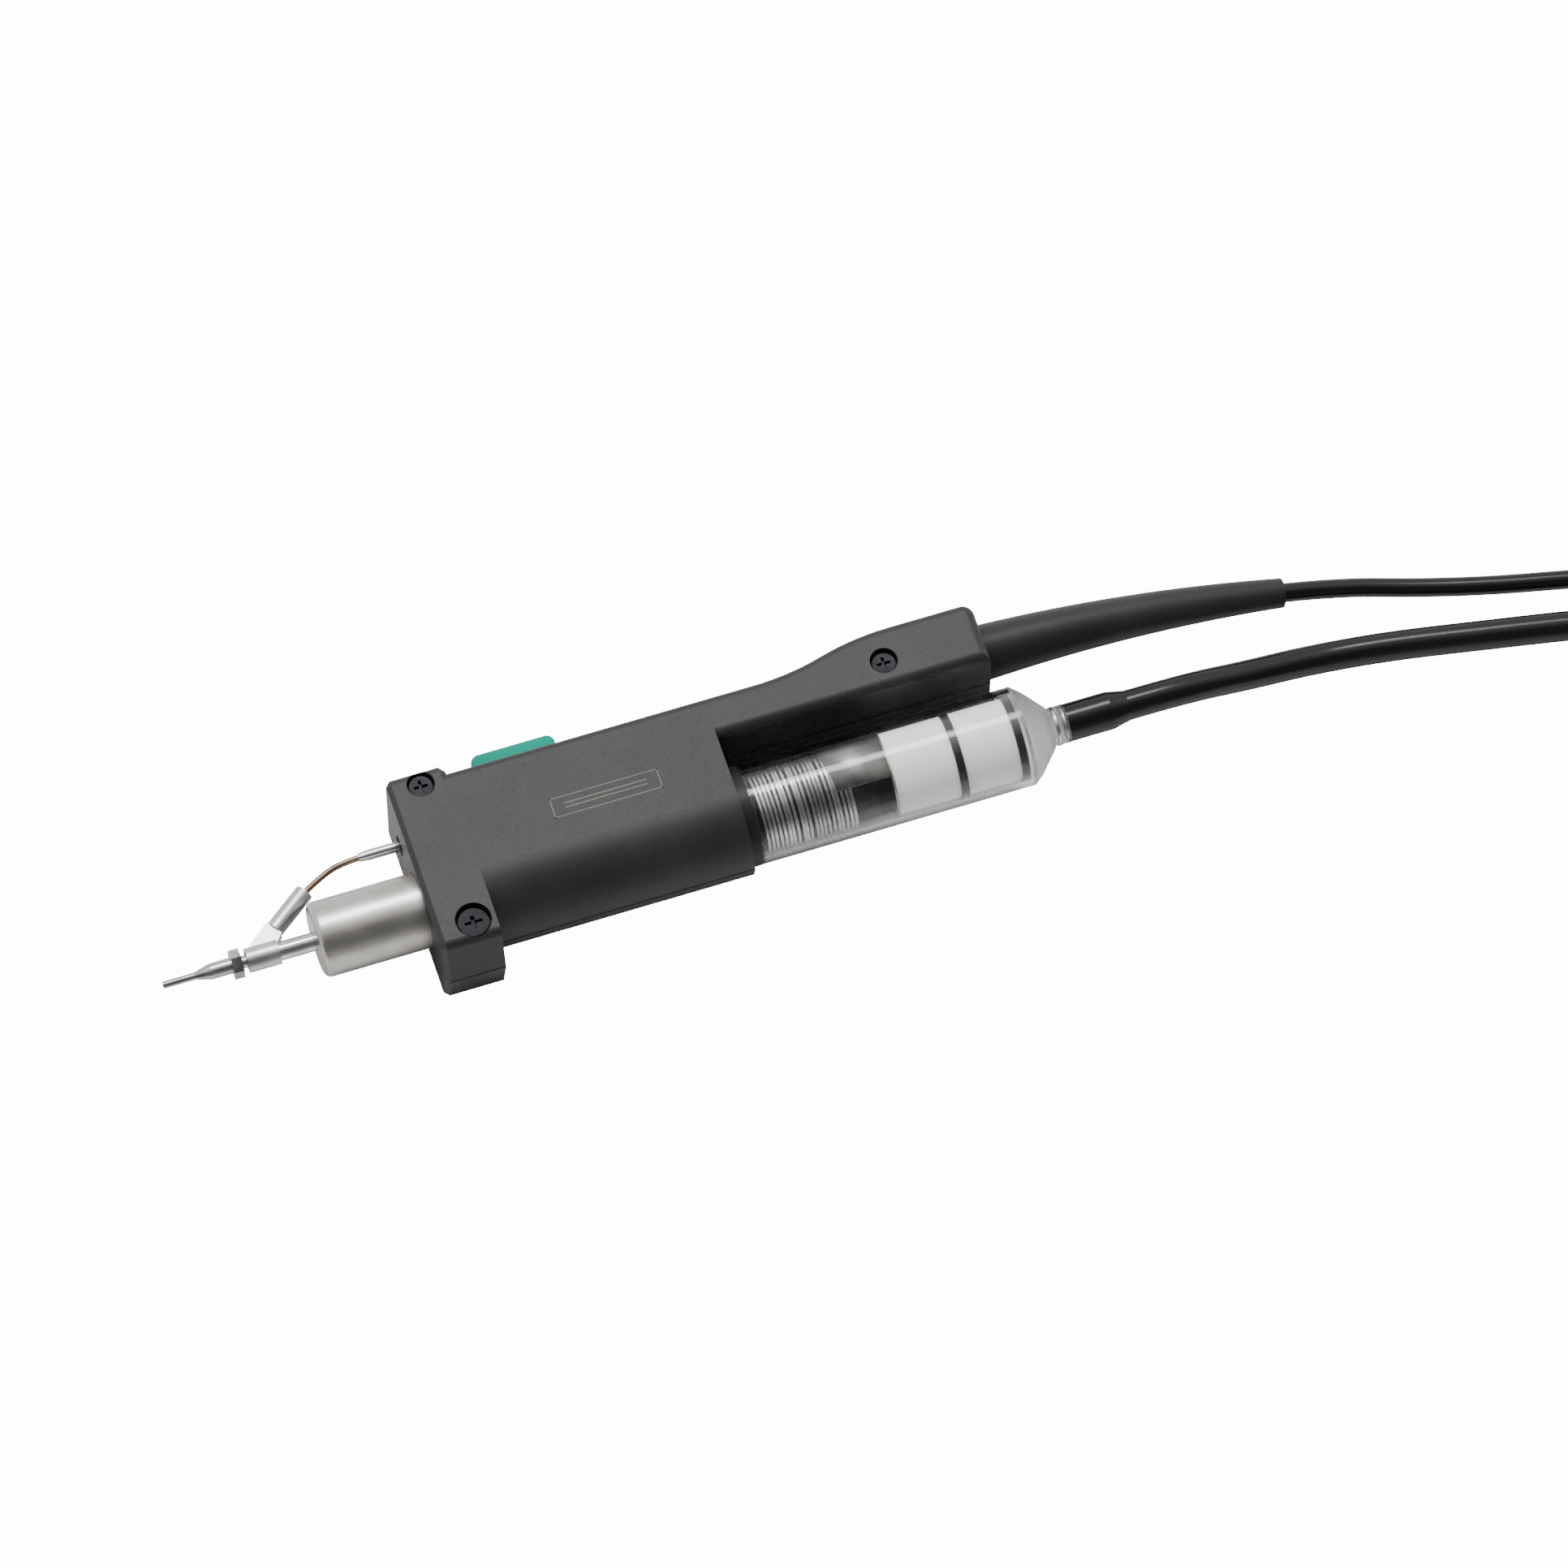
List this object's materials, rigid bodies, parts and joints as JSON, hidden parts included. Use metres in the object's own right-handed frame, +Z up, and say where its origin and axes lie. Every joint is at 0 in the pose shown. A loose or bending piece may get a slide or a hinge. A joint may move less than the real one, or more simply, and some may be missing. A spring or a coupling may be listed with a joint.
{
  "type": "desoldering iron handpiece",
  "caption": "Hand-held desoldering iron lying on its side: two-shell grip with push-button, steel heater cartridge with hollow tip, clear solder collector, cable and suction hose.",
  "frame": {"origin": "on the resting face of the far shell, directly under the tool axis, 27 mm behind the housing's front face", "axes": "+X along the tool axis from the tip towards the cable end, +Y towards the push-button, +Z up out of the resting face"},
  "size_m": [0.4535, 0.038, 0.0368],
  "materials": {
    "housing": "fine spark-eroded texture",
    "dark_screw": "black oxide",
    "button": "satin, moulded",
    "spring_steel": "bright drawn wire",
    "board": "green lacquered board",
    "black_plastic": "moulded",
    "steel": "turned and brushed",
    "tip_plating": "iron plated",
    "tube_plating": "satin",
    "bronze": "heat tinted",
    "ceramic_white": "unglazed",
    "brass": "bright",
    "seal_rubber": "silicone",
    "clear_glass": "clear",
    "filter_felt": "pressed fibre",
    "boot_rubber": "soft moulded",
    "cable_jacket": "smooth jacket",
    "lead_jacket": "silicone wire",
    "hose_rubber": "smooth silicone"
  },
  "bodies": {
    "housing": {"button_spring": "spring_steel", "cable_boot": "boot_rubber", "cable_clamp": "black_plastic", "cable_end": "cable_jacket", "cable_hank": "cable_jacket", "cable_tail": "cable_jacket", "case_screws": "dark_screw", "connector_body": "black_plastic", "connector_insert": "black_plastic", "connector_pins": "brass", "connector_shell": "steel", "contact_socket": "black_plastic", "contact_springs": "brass", "far_shell": "housing", "foot_screw": "dark_screw", "heater_leads": "lead_jacket", "near_shell": "housing", "port_seal": "seal_rubber", "power_cable": "cable_jacket", "suction_duct": "steel", "switch_board": "board", "switch_body": "black_plastic", "switch_leads": "lead_jacket", "switch_plunger": "black_plastic"},
    "button": {"button_key": "button"},
    "cartridge": {"cartridge_sleeve": "steel", "cartridge_cap": "steel", "cartridge_tube": "steel", "heater_core": "ceramic_white", "cartridge_insulator": "ceramic_white", "contact_plug": "black_plastic", "contact_rings": "brass", "nozzle_tip": "tip_plating", "nozzle_collar": "tip_plating", "branch_saddle": "tube_plating", "branch_sleeve": "tube_plating", "suction_tube": "bronze", "tube_ferrule": "steel"},
    "collector": {"collector_seal": "seal_rubber", "collector_tube": "clear_glass", "solder_trap": "spring_steel", "baffle_cone": "steel", "front_filter": "filter_felt", "rear_filter": "filter_felt", "front_filter_ring": "seal_rubber", "rear_filter_ring": "seal_rubber", "hose_cuff": "hose_rubber", "suction_hose": "hose_rubber", "hose_tail": "hose_rubber", "hose_hank": "hose_rubber", "hose_fitting": "black_plastic"}
  },
  "joints": [
    {"name": "button_press", "type": "slide", "parent": "housing", "child": "button", "axis": [0, -1, 0], "range_m": [0, 0.0009], "stiffness_N_per_m": 600, "springref_m": -0.0008, "deforming": ["button_spring"]},
    {"name": "cartridge_pull", "type": "slide", "parent": "housing", "child": "cartridge", "axis": [-1, 0, 0], "range_m": [0, 0.035]},
    {"name": "collector_pull", "type": "slide", "parent": "housing", "child": "collector", "axis": [1, 0, 0], "range_m": [0, 0.012]}
  ]
}
